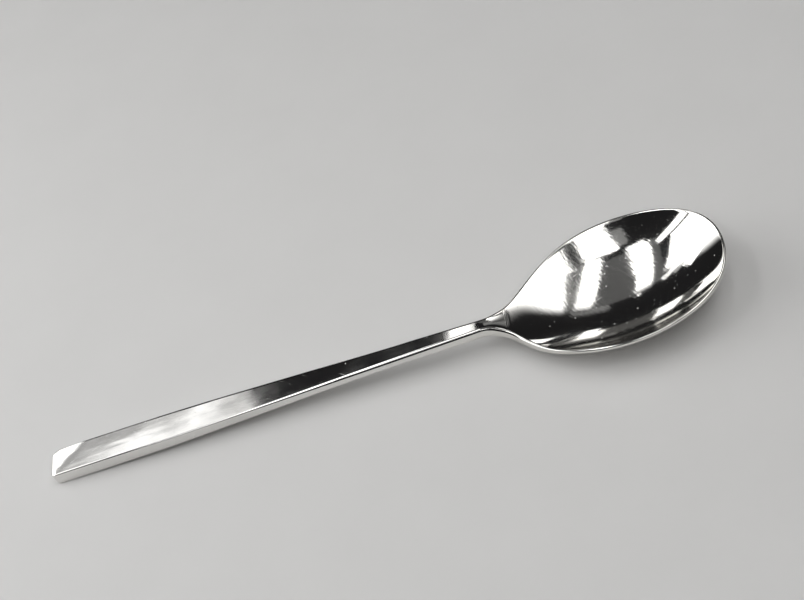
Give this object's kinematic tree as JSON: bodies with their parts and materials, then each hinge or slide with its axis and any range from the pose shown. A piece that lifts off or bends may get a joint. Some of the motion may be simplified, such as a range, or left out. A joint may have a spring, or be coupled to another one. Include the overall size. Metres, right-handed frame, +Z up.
{
  "type": "table spoon",
  "caption": "Polished steel table spoon with an egg-shaped bowl on a straight tapering bar handle, joined at the neck by a tang in a brazed socket.",
  "frame": {"origin": "on the table, under the middle of the overall length and on the spoon's plane of symmetry", "axes": "+X along the spoon towards the lip of the bowl, +Y across, +Z up from the table"},
  "size_m": [0.2, 0.0428, 0.014],
  "materials": {
    "bowl_steel": "mirror polish with fine polishing lines and small scratches",
    "handle_steel": "mirror polish with lengthwise polishing lines and small scratches",
    "braze": "silver filler ground flush and polished"
  },
  "bodies": {
    "root": {"bowl": "bowl_steel", "handle": "handle_steel", "braze_seam": "braze"}
  },
  "joints": []
}
